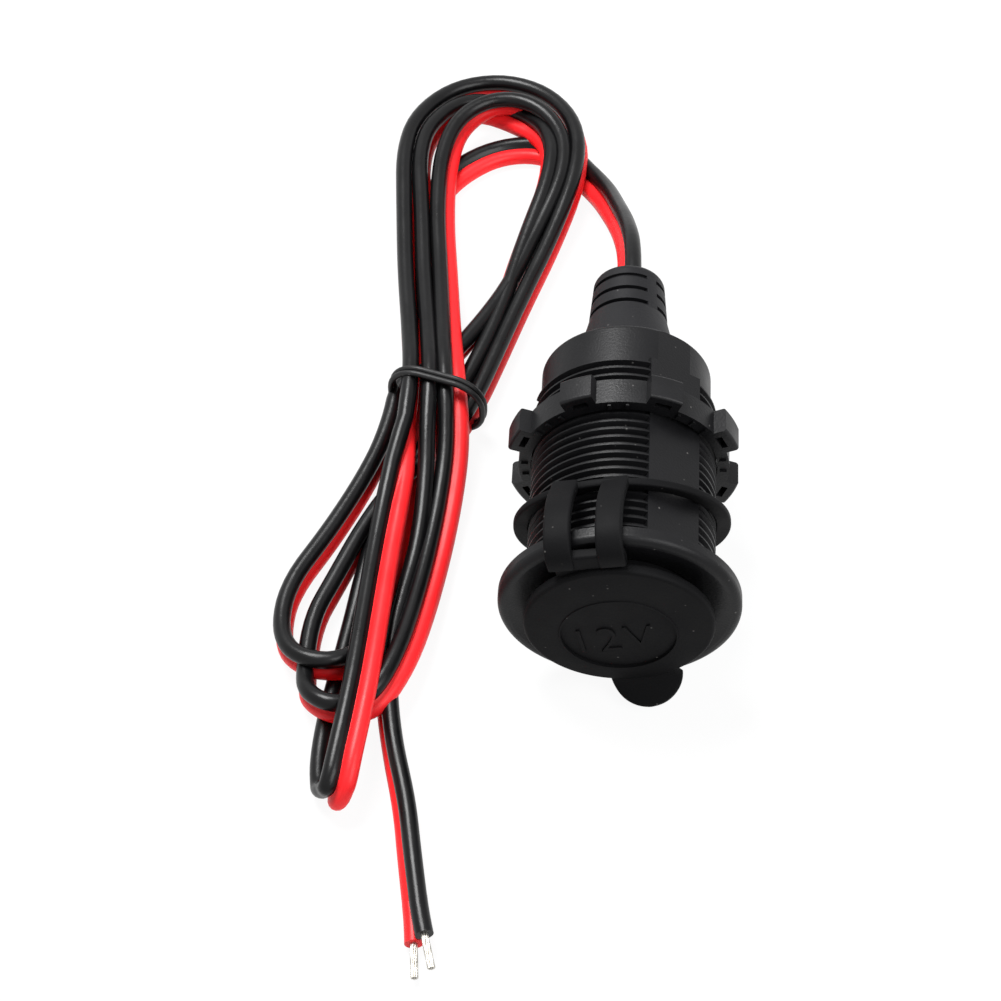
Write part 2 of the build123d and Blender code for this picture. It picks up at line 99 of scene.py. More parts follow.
camera_data = bpy.data.cameras.new("camera")
camera_data.sensor_fit = "HORIZONTAL"
camera_data.sensor_width = SENSOR_MM
camera_data.lens = FOCAL_PIXELS / FRAME_PIXELS * SENSOR_MM
camera_data.clip_start = 0.01
camera = bpy.data.objects.new("camera", camera_data)
axes = Matrix((CAMERA_RIGHT, CAMERA_UP, CAMERA_BACK)).transposed()
camera.matrix_world = Matrix.Translation(Vector(CAMERA_EYE) * MM) @ axes.to_4x4()
bpy.context.scene.collection.objects.link(camera)
bpy.context.scene.camera = camera


# Small makers used by every piece

def add_node(tree, kind, settings=(), links=()):
    """Adds a node, sets its inputs or properties, and links sockets to its inputs."""
    made = tree.nodes.new(kind)
    for key, value in dict(settings).items():
        if isinstance(key, int) or key in made.inputs:
            made.inputs[key].default_value = value
        else:
            setattr(made, key, value)
    for key, source in dict(links).items():
        tree.links.new(source, made.inputs[key])
    return made


def tone(code):
    """Linear colour from an sRGB hex value."""
    parts = [int(code[i:i + 2], 16) / 255 for i in (1, 3, 5)]
    linear = [c / 12.92 if c <= 0.04045 else ((c + 0.055) / 1.055) ** 2.4 for c in parts]
    return (*linear, 1.0)


def per_metre(size):
    """Texture scale for a feature of the given size in millimetres."""
    return 1.0 / (size * MM)


def plain_mesh(carrier):
    """Evaluated object as a mesh of its own."""
    depsgraph = bpy.context.evaluated_depsgraph_get()
    return bpy.data.meshes.new_from_object(carrier.evaluated_get(depsgraph), depsgraph=depsgraph)


def smooth_line(points, steps):
    """Points in millimetres along a NURBS line that has the given points as control points."""
    curve = bpy.data.curves.new("route", "CURVE")
    curve.dimensions = "3D"
    spline = curve.splines.new("NURBS")
    spline.points.add(len(points) - 1)
    for point, place in zip(spline.points, points):
        point.co = (*[c * MM for c in place[:3]], 1.0)
    spline.order_u = 3
    spline.use_endpoint_u = True
    spline.resolution_u = steps
    carrier = bpy.data.objects.new("route", curve)
    bpy.context.scene.collection.objects.link(carrier)
    mesh = plain_mesh(carrier)
    line = [v.co / MM for v in mesh.vertices]
    bpy.data.objects.remove(carrier)
    bpy.data.curves.remove(curve)
    bpy.data.meshes.remove(mesh)
    return line


def headings(line):
    """Direction of travel at each point of a line."""
    ways = []
    for i in range(len(line)):
        ahead = line[min(i + 1, len(line) - 1)]
        behind = line[max(i - 1, 0)]
        ways.append((ahead - behind).normalized())
    return ways


def skin(rings, endless=False):
    """Skin over rings of points in millimetres, with flat ends or joined end to end."""
    bm = bmesh.new()
    loops = [[bm.verts.new(Vector(p) * MM) for p in ring] for ring in rings]
    count = len(rings[0])
    nexts = loops[1:] + loops[:1] if endless else loops[1:]
    for here, ahead in zip(loops, nexts):
        for i in range(count):
            j = (i + 1) % count
            bm.faces.new((here[i], here[j], ahead[j], ahead[i]))
    if not endless:
        bm.faces.new(list(reversed(loops[0])))
        bm.faces.new(loops[-1])
    bmesh.ops.recalc_face_normals(bm, faces=bm.faces)
    return bm


def lathe(outline, steps):
    """Body of revolution round the Y axis from an outline of (radius, y) points."""
    bm = bmesh.new()
    verts = [bm.verts.new((r * MM, y * MM, 0)) for r, y in outline]
    edges = [bm.edges.new(pair) for pair in zip(verts, verts[1:])]
    if outline[0][0] > 0:
        edges.append(bm.edges.new((verts[-1], verts[0])))
    bmesh.ops.spin(
        bm, geom=verts + edges, cent=(0, 0, 0), axis=(0, 1, 0),
        angle=2 * math.pi, steps=steps, use_merge=True,
    )
    bmesh.ops.remove_doubles(bm, verts=bm.verts, dist=1e-7)
    bmesh.ops.recalc_face_normals(bm, faces=bm.faces)
    return bm


def rounded_bar(width, height, radius, steps=4):
    """Section of a bar with rounded corners, as (across, up) points."""
    section = []
    for corner in range(4):
        sign_u = 1 if corner in (0, 3) else -1
        sign_v = 1 if corner in (0, 1) else -1
        for step in range(steps + 1):
            angle = math.radians(90 * (corner + step / steps))
            u = sign_u * (width / 2 - radius) + radius * math.cos(angle)
            v = sign_v * (height / 2 - radius) + radius * math.sin(angle)
            section.append((u, v))
    return section


# Angle in degrees past which an edge is shaded hard
HARD_EDGE = 38.0


def mesh_from(name, bm, sharp=HARD_EDGE):
    """Finished mesh, shaded smooth with its hard edges kept."""
    mesh = bpy.data.meshes.new(name)
    bm.to_mesh(mesh)
    bm.free()
    mesh.shade_smooth()
    mesh.set_sharp_from_angle(angle=math.radians(sharp))
    return mesh


def put(name, mesh, materials):
    """Object at the origin with the given mesh and materials."""
    made = bpy.data.objects.new(name, mesh)
    for material in materials:
        mesh.materials.append(material)
    bpy.context.scene.collection.objects.link(made)
    return made


# Materials

def start_material(name):
    """New material with its shader and object coordinates."""
    material = bpy.data.materials.new(name)
    material.use_nodes = True
    tree = material.node_tree
    tree.nodes.clear()
    shader = add_node(tree, "ShaderNodeBsdfPrincipled")
    add_node(tree, "ShaderNodeOutputMaterial", links={"Surface": shader.outputs["BSDF"]})
    place = add_node(tree, "ShaderNodeTexCoord").outputs["Object"]
    return material, tree, shader, place


# Middle part of a noise pattern's range, over which the sheen changes
NOISE_LOW = 0.3
NOISE_HIGH = 0.7
PLASTIC_IOR = 1.5

# Dust on mouldings: the specks' spacing, and the shares of it where a speck begins and is full
DUST_TONE = "#8d8b88"
DUST_SPACING = 2.6
DUST_EDGE = 0.075
DUST_HEART = 0.03
GRAIN_STRENGTH = 0.6


def moulded(name, low, high, grain, depth, gloss, cloud, dust, specular):
    """Moulded or pressed surface: fine grain, slow changes of tone and sheen, and specks of dust.

    low and high are the tones, grain and cloud are sizes and depth a height in millimetres,
    gloss is the (least, most) roughness, dust is how strongly the specks show, and specular is
    the level of the shine.
    """
    material, tree, shader, place = start_material(name)
    clouds = add_node(
        tree, "ShaderNodeTexNoise", {"Scale": per_metre(cloud), "Detail": 3.0}, {"Vector": place}
    )
    shade = add_node(
        tree, "ShaderNodeMix", {"data_type": "RGBA", 6: tone(low), 7: tone(high)},
        {0: clouds.outputs["Fac"]},
    )
    specks = add_node(
        tree, "ShaderNodeTexVoronoi", {"Scale": per_metre(DUST_SPACING), "Randomness": 1.0},
        {"Vector": place},
    )
    near = add_node(
        tree, "ShaderNodeMapRange",
        {"From Min": DUST_EDGE, "From Max": DUST_HEART, "To Min": 0.0, "To Max": dust},
        {"Value": specks.outputs["Distance"]},
    )
    dusted = add_node(
        tree, "ShaderNodeMix", {"data_type": "RGBA", 7: tone(DUST_TONE)},
        {0: near.outputs["Result"], 6: shade.outputs[2]},
    )
    pores = add_node(
        tree, "ShaderNodeTexNoise", {"Scale": per_metre(grain), "Detail": 2.0}, {"Vector": place}
    )
    sheen = add_node(
        tree, "ShaderNodeMapRange",
        {
            "From Min": NOISE_LOW, "From Max": NOISE_HIGH,
            "To Min": gloss[0], "To Max": gloss[1],
        },
        {"Value": clouds.outputs["Fac"]},
    )
    relief = add_node(
        tree, "ShaderNodeBump", {"Strength": GRAIN_STRENGTH, "Distance": depth * MM},
        {"Height": pores.outputs["Fac"]},
    )
    shader.inputs["IOR"].default_value = PLASTIC_IOR
    shader.inputs["Specular IOR Level"].default_value = specular
    tree.links.new(dusted.outputs[2], shader.inputs["Base Color"])
    tree.links.new(sheen.outputs["Result"], shader.inputs["Roughness"])
    tree.links.new(relief.outputs["Normal"], shader.inputs["Normal"])
    return material


# Wire covering: size and height of the die's ripples, and size of the scuffs
RIPPLE = 1.2
RIPPLE_HEIGHT = 0.08
RIPPLE_STRENGTH = 0.35
SCUFF = 6.0


def drawn_pvc(name, low, high, gloss, specular):
    """Extruded wire covering: smooth and waxy, with faint ripples from the die."""
    material, tree, shader, place = start_material(name)
    ripple = add_node(
        tree, "ShaderNodeTexNoise", {"Scale": per_metre(RIPPLE), "Detail": 2.0}, {"Vector": place}
    )
    scuffs = add_node(
        tree, "ShaderNodeTexNoise", {"Scale": per_metre(SCUFF), "Detail": 4.0}, {"Vector": place}
    )
    shade = add_node(
        tree, "ShaderNodeMix", {"data_type": "RGBA", 6: tone(low), 7: tone(high)},
        {0: scuffs.outputs["Fac"]},
    )
    sheen = add_node(
        tree, "ShaderNodeMapRange",
        {
            "From Min": NOISE_LOW, "From Max": NOISE_HIGH,
            "To Min": gloss[0], "To Max": gloss[1],
        },
        {"Value": scuffs.outputs["Fac"]},
    )
    relief = add_node(
        tree, "ShaderNodeBump", {"Strength": RIPPLE_STRENGTH, "Distance": RIPPLE_HEIGHT * MM},
        {"Height": ripple.outputs["Fac"]},
    )
    shader.inputs["IOR"].default_value = PLASTIC_IOR
    shader.inputs["Specular IOR Level"].default_value = specular
    tree.links.new(shade.outputs[2], shader.inputs["Base Color"])
    tree.links.new(sheen.outputs["Result"], shader.inputs["Roughness"])
    tree.links.new(relief.outputs["Normal"], shader.inputs["Normal"])
    return material


# Worked metal: stretch and height of the drawing lines, and size of the dulled patches
LINE_STRETCH = (1.0, 0.06, 1.0)
LINE_HEIGHT = 0.03
LINE_STRENGTH = 0.3
PATCH = 4.0


def bare_metal(name, low, high, gloss, line):
    """Worked metal: fine drawing lines along the socket's axis and a dulled tone in patches."""
    material, tree, shader, place = start_material(name)
    along = add_node(tree, "ShaderNodeMapping", {"Scale": LINE_STRETCH}, {"Vector": place})
    lines = add_node(
        tree, "ShaderNodeTexNoise", {"Scale": per_metre(line), "Detail": 3.0},
        {"Vector": along.outputs["Vector"]},
    )
    patches = add_node(
        tree, "ShaderNodeTexNoise", {"Scale": per_metre(PATCH), "Detail": 3.0}, {"Vector": place}
    )
    shade = add_node(
        tree, "ShaderNodeMix", {"data_type": "RGBA", 6: tone(low), 7: tone(high)},
        {0: patches.outputs["Fac"]},
    )
    sheen = add_node(
        tree, "ShaderNodeMapRange",
        {
            "From Min": NOISE_LOW, "From Max": NOISE_HIGH,
            "To Min": gloss[0], "To Max": gloss[1],
        },
        {"Value": lines.outputs["Fac"]},
    )
    relief = add_node(
        tree, "ShaderNodeBump", {"Strength": LINE_STRENGTH, "Distance": LINE_HEIGHT * MM},
        {"Height": lines.outputs["Fac"]},
    )
    shader.inputs["Metallic"].default_value = 1.0
    tree.links.new(shade.outputs[2], shader.inputs["Base Color"])
    tree.links.new(sheen.outputs["Result"], shader.inputs["Roughness"])
    tree.links.new(relief.outputs["Normal"], shader.inputs["Normal"])
    return material


# Moulded ABS from a spark-eroded tool: satin, a little lighter where the light grazes it.
# The tool grain is about 0.05 mm and is drawn at 0.35 mm, so that it shows.
ABS = moulded(
    "moulded_black_abs", "#0a0a0b", "#111113", grain=0.35, depth=0.05, gloss=(0.34, 0.46),
    cloud=7.0, dust=0.3, specular=0.16,
)
NUT_ABS = moulded(
    "moulded_black_abs_nut", "#0b0b0c", "#121214", grain=0.35, depth=0.06, gloss=(0.34, 0.46),
    cloud=5.0, dust=0.3, specular=0.19,
)
# Moulded synthetic rubber: matt, soft black, and it holds dust.
RUBBER = moulded(
    "moulded_black_rubber", "#0b0b0c", "#101011", grain=0.5, depth=0.04, gloss=(0.5, 0.64),
    cloud=6.0, dust=0.25, specular=0.05,
)
# Flexible PVC moulded over the lead: dull dark grey.
BOOT_PVC = moulded(
    "moulded_grey_pvc", "#101012", "#18181a", grain=0.45, depth=0.05, gloss=(0.42, 0.54),
    cloud=5.0, dust=0.25, specular=0.15,
)
# Plastic-covered tie wire: plain black with a slight shine.
TIE_COAT = moulded(
    "coated_tie_wire", "#0b0b0c", "#121213", grain=0.6, depth=0.05, gloss=(0.4, 0.55),
    cloud=3.0, dust=0.2, specular=0.3,
)
# Extruded PVC wire covering, black and signal red: smooth, with a soft long highlight.
BLACK_PVC = drawn_pvc("extruded_black_pvc", "#060607", "#0a0a0b", gloss=(0.26, 0.36), specular=0.2)
RED_PVC = drawn_pvc("extruded_red_pvc", "#d61b1f", "#e6262a", gloss=(0.34, 0.46), specular=0.2)
# Nickel-plated drawn steel cup: grey, semi-bright, with draw lines along the bore.
STEEL = bare_metal("nickel_plated_steel", "#a9abad", "#c9cacb", gloss=(0.24, 0.4), line=0.5)
# Stamped brass: yellow and a little tarnished.
BRASS = bare_metal("stamped_brass", "#a98443", "#cda85c", gloss=(0.28, 0.44), line=0.5)
# Fine copper strand, tinned at the lead's free ends: soft silver.
TINNED = bare_metal("tinned_copper_strand", "#a9a59c", "#d0cdc6", gloss=(0.3, 0.45), line=0.3)
# Bare copper strand on the tags inside: warm and red-brown.
COPPER = bare_metal("bare_copper_strand", "#a3592f", "#c67c4d", gloss=(0.3, 0.46), line=0.3)
# Pressed vulcanised fibre washer: red-brown board, dull and slightly hairy.
FIBRE = moulded(
    "pressed_fibre_board", "#6e3f2a", "#84523a", grain=0.3, depth=0.06, gloss=(0.7, 0.85),
    cloud=2.0, dust=0.0, specular=0.3,
)

NODE_FINISH = {
    "housing": ABS,
    "contact_sleeve": STEEL,
    "inner_insulator": FIBRE,
    "outer_insulator": FIBRE,
    "centre_contact": BRASS,
    "positive_terminal": BRASS,
    "negative_terminal": STEEL,
    "positive_conductor": COPPER,
    "negative_conductor": COPPER,
    "rear_boot": BOOT_PVC,
    "cable_inner": BLACK_PVC,
    "lock_nut": NUT_ABS,
}
for node_name, finish in NODE_FINISH.items():
    node_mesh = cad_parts[node_name].data
    node_mesh.materials.clear()
    node_mesh.materials.append(finish)


# Twin lead. Each point is (x, y, z, roll): at roll 0 the black core is on the right of travel,
# and a larger roll lifts it over the red one.
LEAD = [
    (0.0, BOOT_END, 0.0, 66), (0.0, 69.3, 0.0, 66), (-1.0, 78.0, -4.0, 66),
    (-2.7, 87.0, -9.5, 64), (-5.0, 96.2, -14.6, 54), (-9.6, 103.8, -17.1, 32),
    (-15.5, 108.3, -17.1, 10), (-23.5, 107.6, -17.1, 0), (-30.0, 103.0, -17.1, 0),
    (-34.8, 96.4, -17.1, 0),
]
TAIL = [
    (-32.0, 39.0, -11.0, 88), (-31.7, 32.0, -13.3, 90), (-32.0, 20.3, -15.2, 92),
    (-33.6, 11.0, -16.0, 96), (-35.6, 1.0, -16.2, 108), (-35.4, -8.5, -16.2, 106),
    (-33.7, -18.5, -15.9, 102), (-31.1, -28.5, -15.9, 107), (-29.8, -37.0, -15.9, 110),
    (-28.5, -44.5, -15.9, 112),
]
# A smooth line runs a little inside its control points on a bend
BOW = 1.04


def bend(centre, half_w, half_h, stations):
    """Control points round a loop's end: stations are (angle, z, roll)."""
    points = []
    for angle, z, roll in stations:
        turn = math.radians(angle)
        x = centre[0] + BOW * half_w * math.cos(turn)
        y = centre[1] + BOW * half_h * math.sin(turn)
        points.append((x, y, z, roll))
    return points


FIRST_TURN = [
    (-35.6, 86.0, -17.1, 0), (-35.8, 72.0, -17.1, 0), (-34.8, 59.0, -16.8, 0),
    (-34.4, 47.0, -15.8, 10), (-35.2, 34.0, -16.2, 20), (-36.6, 18.0, -16.9, 20),
    (-37.4, 6.0, -16.4, 35),
    *bend((-44.9, 1.8), 7.5, 8.1, [
        (-40, -14.6, 62), (-90, -12.9, 84), (-135, -14.0, 92), (-178, -15.5, 95),
    ]),
    (-52.0, 10.0, -15.8, 98), (-46.4, 20.5, -15.8, 98), (-40.8, 33.5, -15.6, 97),
    (-38.4, 43.0, -15.2, 92), (-37.8, 50.8, -14.6, 86), (-30.4, 56.0, -15.4, 80),
    (-24.7, 65.5, -15.4, 76), (-20.4, 74.0, -15.4, 76), (-16.4, 86.0, -15.0, 77),
    *bend((-22.3, 102.0), 10.3, 13.4, [
        (-20, -12.9, 80), (20, -12.8, 86), (60, -12.6, 100), (100, -12.5, 104), (140, -12.8, 78),
        (180, -13.0, 58),
    ]),
    (-32.8, 88.0, -13.0, 54), (-31.4, 75.0, -12.8, 52), (-30.0, 60.5, -11.2, 48),
    (-28.7, 49.0, -8.6, 40),
]
SECOND_TURN = [
    (-27.7, 40.0, -11.4, 28), (-27.7, 33.0, -13.5, 30), (-28.9, 20.5, -15.2, 34),
    (-30.9, 6.6, -14.6, 38), (-32.9, -4.4, -12.4, 46), (-36.4, -12.4, -12.4, 58),
    *bend((-42.6, -7.6), 5.2, 6.2, [
        (-65, -13.6, 72), (-105, -12.9, 86), (-145, -14.0, 93), (-180, -15.5, 95),
    ]),
    (-47.9, 3.5, -15.8, 95), (-44.8, 11.5, -15.7, 95), (-41.5, 20.5, -15.6, 95),
    (-37.0, 30.0, -15.8, 95), (-28.6, 40.0, -15.8, 95), (-24.6, 48.6, -15.3, 96),
    (-21.6, 58.5, -15.5, 97), (-17.9, 71.0, -15.5, 97), (-13.5, 84.0, -15.0, 98),
    *bend((-24.5, 103.5), 15.2, 18.2, [
        (-20, -13.0, 100), (15, -13.0, 102), (50, -14.4, 98), (85, -15.4, 88), (120, -15.2, 84),
        (155, -14.2, 86), (185, -13.4, 84),
    ]),
    (-39.3, 90.0, -13.2, 84), (-38.1, 75.0, -13.0, 86), (-36.4, 60.0, -11.5, 90),
    (-35.2, 49.0, -9.2, 90),
]
THIRD_TURN = [
    (-35.5, 40.0, -10.2, 86), (-36.1, 31.5, -11.4, 34), (-36.8, 24.0, -11.9, 8),
    (-37.5, 16.0, -12.0, 4), (-38.1, 4.6, -11.0, 2), (-38.7, -7.9, -9.8, 0),
    (-39.5, -16.5, -9.8, 0), (-40.4, -23.6, -10.4, 0), (-41.0, -28.0, -11.6, 15),
    (-42.0, -28.6, -14.0, 90), (-42.9, -26.6, -16.8, 160), (-43.5, -20.5, -17.1, 174),
    (-42.9, -12.0, -17.1, 176), (-41.6, -3.0, -17.1, 175), (-40.2, 7.0, -17.1, 172),
    (-39.1, 16.0, -16.8, 150), (-37.4, 25.0, -16.2, 120), (-33.0, 37.0, -16.0, 100),
    (-28.0, 49.0, -15.8, 85), (-24.0, 60.5, -15.6, 78), (-21.3, 70.0, -15.5, 76),
    (-18.4, 84.0, -15.0, 77),
    *bend((-25.6, 102.0), 11.4, 13.2, [(-20, -12.9, 78), (20, -12.9, 80), (60, -15.6, 45)]),
    *bend((-25.4, 102.5), 11.7, 15.0, [(105, -15.6, 56), (145, -14.4, 82), (180, -13.6, 81)]),
    (-36.0, 88.0, -13.1, 82), (-35.0, 75.0, -12.9, 85), (-33.3, 60.0, -11.5, 90),
    (-32.1, 49.0, -8.9, 90),
]
ROUTE = LEAD + FIRST_TURN + SECOND_TURN + THIRD_TURN + TAIL
# Steps between control points and round each core, and half the angle that the web takes up
LINE_STEPS = 5
LOBE_STEPS = 12
LOBE_OPEN = math.radians(20.0)

lead_line = smooth_line(ROUTE, LINE_STEPS)


def roll_at(share):
    """Roll of the lead at a share of its line, read between the route's points."""
    span = len(ROUTE) - 2
    place = share * span
    stops = [0.0, *[k + 0.5 for k in range(span)], float(span)]
    for k in range(len(stops) - 1):
        if place <= stops[k + 1]:
            part = (place - stops[k]) / (stops[k + 1] - stops[k])
            return ROUTE[k][3] * (1 - part) + ROUTE[k + 1][3] * part
    return ROUTE[-1][3]


def lead_frames(line):
    """Centre, direction towards the black core and direction across it, all along the lead."""
    frames = []
    for i, (centre, heading) in enumerate(zip(line, headings(line))):
        side = heading.cross(Vector((0, 0, 1))).normalized()
        lift = side.cross(heading)
        roll = math.radians(roll_at(i / (len(line) - 1)))
        to_black = side * math.cos(roll) + lift * math.sin(roll)
        across = heading.cross(to_black)
        rest_z = FLOOR_Z + CORE_R + CORE_HALF_PITCH * abs(to_black.z)
        centre = Vector((centre.x, centre.y, max(centre.z, rest_z)))
        frames.append((centre, to_black, across))
    return frames


def lead_section():
    """Outline of the twin lead, black lobe first: (towards black, across) points."""
    lobe = []
    for step in range(LOBE_STEPS + 1):
        angle = -math.pi + LOBE_OPEN + (2 * math.pi - 2 * LOBE_OPEN) * step / LOBE_STEPS
        lobe.append((CORE_HALF_PITCH + CORE_R * math.cos(angle), CORE_R * math.sin(angle)))
    return lobe + [(-u, -v) for u, v in lobe]


twin_frames = lead_frames(lead_line)
section = lead_section()
twin = skin([[c + b * u + a * v for u, v in section] for c, b, a in twin_frames])
twin.faces.ensure_lookup_table()
ring_count = len(section)
for i, face in enumerate(twin.faces):
    if i < ring_count * (len(twin_frames) - 1):
        face.material_index = 0 if i % ring_count <= LOBE_STEPS else 1
twin_lead = put("twin_lead", mesh_from("twin_lead", twin, sharp=60.0), [BLACK_PVC, RED_PVC])

# Split ends: how far each leans aside, and the share of the split where its bend lies
SPLIT_LEAN = 0.3
SPLIT_BEND = 0.45
SPLIT_STEPS = 8
CORE_SIDES = 20


def core_end(name, sign, split, material):
    """Split core beyond the lead's end, bowed a little away from its neighbour."""
    centre, to_black, _ = twin_frames[-1]
    heading = (lead_line[-1] - lead_line[-2]).normalized()
    start = centre + to_black * (sign * CORE_HALF_PITCH)
    apart = Vector((to_black.x, to_black.y, 0.0)).normalized() * (sign * SPLIT_LEAN)
    points = [start, start + heading * (split * SPLIT_BEND), start + heading * split + apart]
    line = smooth_line(points, SPLIT_STEPS)
    rings = []
    for middle, way in zip(line, headings(line)):
        side = way.cross(Vector((0, 0, 1))).normalized()
        up = side.cross(way)
        ring = []
        for step in range(CORE_SIDES):
            angle = 2 * math.pi * step / CORE_SIDES
            ring.append(middle + (side * math.cos(angle) + up * math.sin(angle)) * CORE_R)
        rings.append(ring)
    made = put(name, mesh_from(name, skin(rings)), [material])
    return made, line[-1], (line[-1] - line[-2]).normalized()


black_core, black_tip, black_way = core_end("black_core_cover", 1, BLACK_SPLIT, BLACK_PVC)
red_core, red_tip, red_way = core_end("red_core_cover", -1, RED_SPLIT, RED_PVC)


# Trees that make what repeats or follows a path

def start_tree(name, sizes, counts):
    """Geometry tree with named inputs for its sizes and counts; returns the tree and its inputs."""
    tree = bpy.data.node_groups.new(name, "GeometryNodeTree")
    tree.interface.new_socket("Geometry", in_out="OUTPUT", socket_type="NodeSocketGeometry")
    for size_name in sizes:
        tree.interface.new_socket(size_name, in_out="INPUT", socket_type="NodeSocketFloat")
    for count_name in counts:
        tree.interface.new_socket(count_name, in_out="INPUT", socket_type="NodeSocketInt")
    return tree, add_node(tree, "NodeGroupInput").outputs


def grow(name, tree, sizes, material):
    """Runs a tree with its sizes set and gives the piece as a plain mesh."""
    made = put(name, bpy.data.meshes.new(name), [])
    modifier = made.modifiers.new("maker", "NODES")
    modifier.node_group = tree
    for item in tree.interface.items_tree:
        if item.in_out == "INPUT":
            modifier[item.identifier] = sizes[item.name]
    mesh = plain_mesh(made)
    made.modifiers.clear()
    made.data = mesh
    mesh.name = name
    mesh.materials.clear()
    mesh.materials.append(material)
    return made


# Thread of the barrel: half widths of its foot and tip as shares of the pitch, the share of its
# height that its foot is sunk by, and how far it ends under the flats
THREAD_PITCH = 1.5
RIDGE_FOOT = 0.42
RIDGE_TIP = 0.1
RIDGE_SUNK = 0.35
FLAT_SINK = 0.04
THREAD_STEPS = 96
THREAD_SHARP = 30.0


def ridge_section(tree, given):
    """Section of the screw ridge: a wide foot sunk in the barrel and a narrow tip."""
    height = add_node(
        tree, "ShaderNodeMath", {"operation": "SUBTRACT"}, {0: given["Crest"], 1: given["Root"]}
    )
    foot = add_node(
        tree, "ShaderNodeMath", {"operation": "MULTIPLY", 1: RIDGE_FOOT}, {0: given["Pitch"]}
    )
    tip = add_node(
        tree, "ShaderNodeMath", {"operation": "MULTIPLY", 1: RIDGE_TIP}, {0: given["Pitch"]}
    )
    sunk = add_node(
        tree, "ShaderNodeMath", {"operation": "MULTIPLY", 1: RIDGE_SUNK}, {0: height.outputs[0]}
    )
    raised = add_node(
        tree, "ShaderNodeMath", {"operation": "MULTIPLY", 1: -1.0}, {0: height.outputs[0]}
    )
    corner_places = []
    for out, across, flip in (
        (sunk, foot, 1.0), (sunk, foot, -1.0), (raised, tip, -1.0), (raised, tip, 1.0),
    ):
        wide = add_node(
            tree, "ShaderNodeMath", {"operation": "MULTIPLY", 1: flip}, {0: across.outputs[0]}
        )
        corner = add_node(
            tree, "ShaderNodeCombineXYZ", {}, {"X": out.outputs[0], "Y": wide.outputs[0]}
        )
        corner_places.append(corner.outputs[0])
    profile = add_node(
        tree, "GeometryNodeCurvePrimitiveQuadrilateral", {"mode": "POINTS"},
        {"Point %d" % (i + 1): place for i, place in enumerate(corner_places)},
    )
    return profile.outputs["Curve"]


def pressed_to_flats(tree, given, ridge):
    """Ridge drawn in towards the axis where it would stand past the barrel's flats."""
    place = add_node(tree, "GeometryNodeInputPosition")
    apart = add_node(tree, "ShaderNodeSeparateXYZ", {}, {0: place.outputs[0]})
    cosine = add_node(tree, "ShaderNodeMath", {"operation": "COSINE"}, {0: given["Flat Angle"]})
    sine = add_node(tree, "ShaderNodeMath", {"operation": "SINE"}, {0: given["Flat Angle"]})
    part_x = add_node(
        tree, "ShaderNodeMath", {"operation": "MULTIPLY"},
        {0: apart.outputs["X"], 1: cosine.outputs[0]},
    )
    out = add_node(
        tree, "ShaderNodeMath", {"operation": "MULTIPLY_ADD"},
        {0: apart.outputs["Z"], 1: sine.outputs[0], 2: part_x.outputs[0]},
    )
    reach = add_node(tree, "ShaderNodeMath", {"operation": "ABSOLUTE"}, {0: out.outputs[0]})
    ratio = add_node(
        tree, "ShaderNodeMath", {"operation": "DIVIDE"},
        {0: given["Flat Plane"], 1: reach.outputs[0]},
    )
    kept = add_node(tree, "ShaderNodeMath", {"operation": "MINIMUM", 1: 1.0}, {0: ratio.outputs[0]})
    new_x = add_node(
        tree, "ShaderNodeMath", {"operation": "MULTIPLY"},
        {0: apart.outputs["X"], 1: kept.outputs[0]},
    )
    new_z = add_node(
        tree, "ShaderNodeMath", {"operation": "MULTIPLY"},
        {0: apart.outputs["Z"], 1: kept.outputs[0]},
    )
    pressed = add_node(
        tree, "ShaderNodeCombineXYZ", {},
        {"X": new_x.outputs[0], "Y": apart.outputs["Y"], "Z": new_z.outputs[0]},
    )
    shaped = add_node(
        tree, "GeometryNodeSetPosition", {}, {"Geometry": ridge, "Position": pressed.outputs[0]}
    )
    return shaped.outputs[0]


def thread_tree():
    """Screw ridge round a barrel, pressed down to the barrel's two flats."""
    tree, given = start_tree(
        "barrel_thread",
        ("Root", "Crest", "Start", "Length", "Turns", "Pitch", "Flat Angle", "Flat Plane"),
        ("Steps",),
    )
    spiral = add_node(
        tree, "GeometryNodeCurveSpiral", {},
        {
            "Resolution": given["Steps"], "Rotations": given["Turns"],
            "Start Radius": given["Root"], "End Radius": given["Root"], "Height": given["Length"],
        },
    )
    upright = add_node(
        tree, "GeometryNodeSetCurveNormal", {"mode": "Z_UP"}, {"Curve": spiral.outputs["Curve"]}
    )
    ridge = add_node(
        tree, "GeometryNodeCurveToMesh", {"Fill Caps": True},
        {"Curve": upright.outputs[0], "Profile Curve": ridge_section(tree, given)},
    )
    laid = add_node(
        tree, "GeometryNodeTransform", {"Rotation": (-math.pi / 2, 0.0, 0.0)},
        {"Geometry": ridge.outputs["Mesh"]},
    )
    shift = add_node(tree, "ShaderNodeCombineXYZ", {}, {"Y": given["Start"]})
    moved = add_node(
        tree, "GeometryNodeTransform", {},
        {"Geometry": laid.outputs[0], "Translation": shift.outputs[0]},
    )
    shaped = pressed_to_flats(tree, given, moved.outputs[0])
    real = add_node(tree, "GeometryNodeRealizeInstances", {}, {0: shaped})
    coated = add_node(
        tree, "GeometryNodeSetMaterial", {"Material": ABS}, {"Geometry": real.outputs[0]}
    )
    add_node(tree, "NodeGroupOutput", {}, {0: coated.outputs[0]})
    return tree


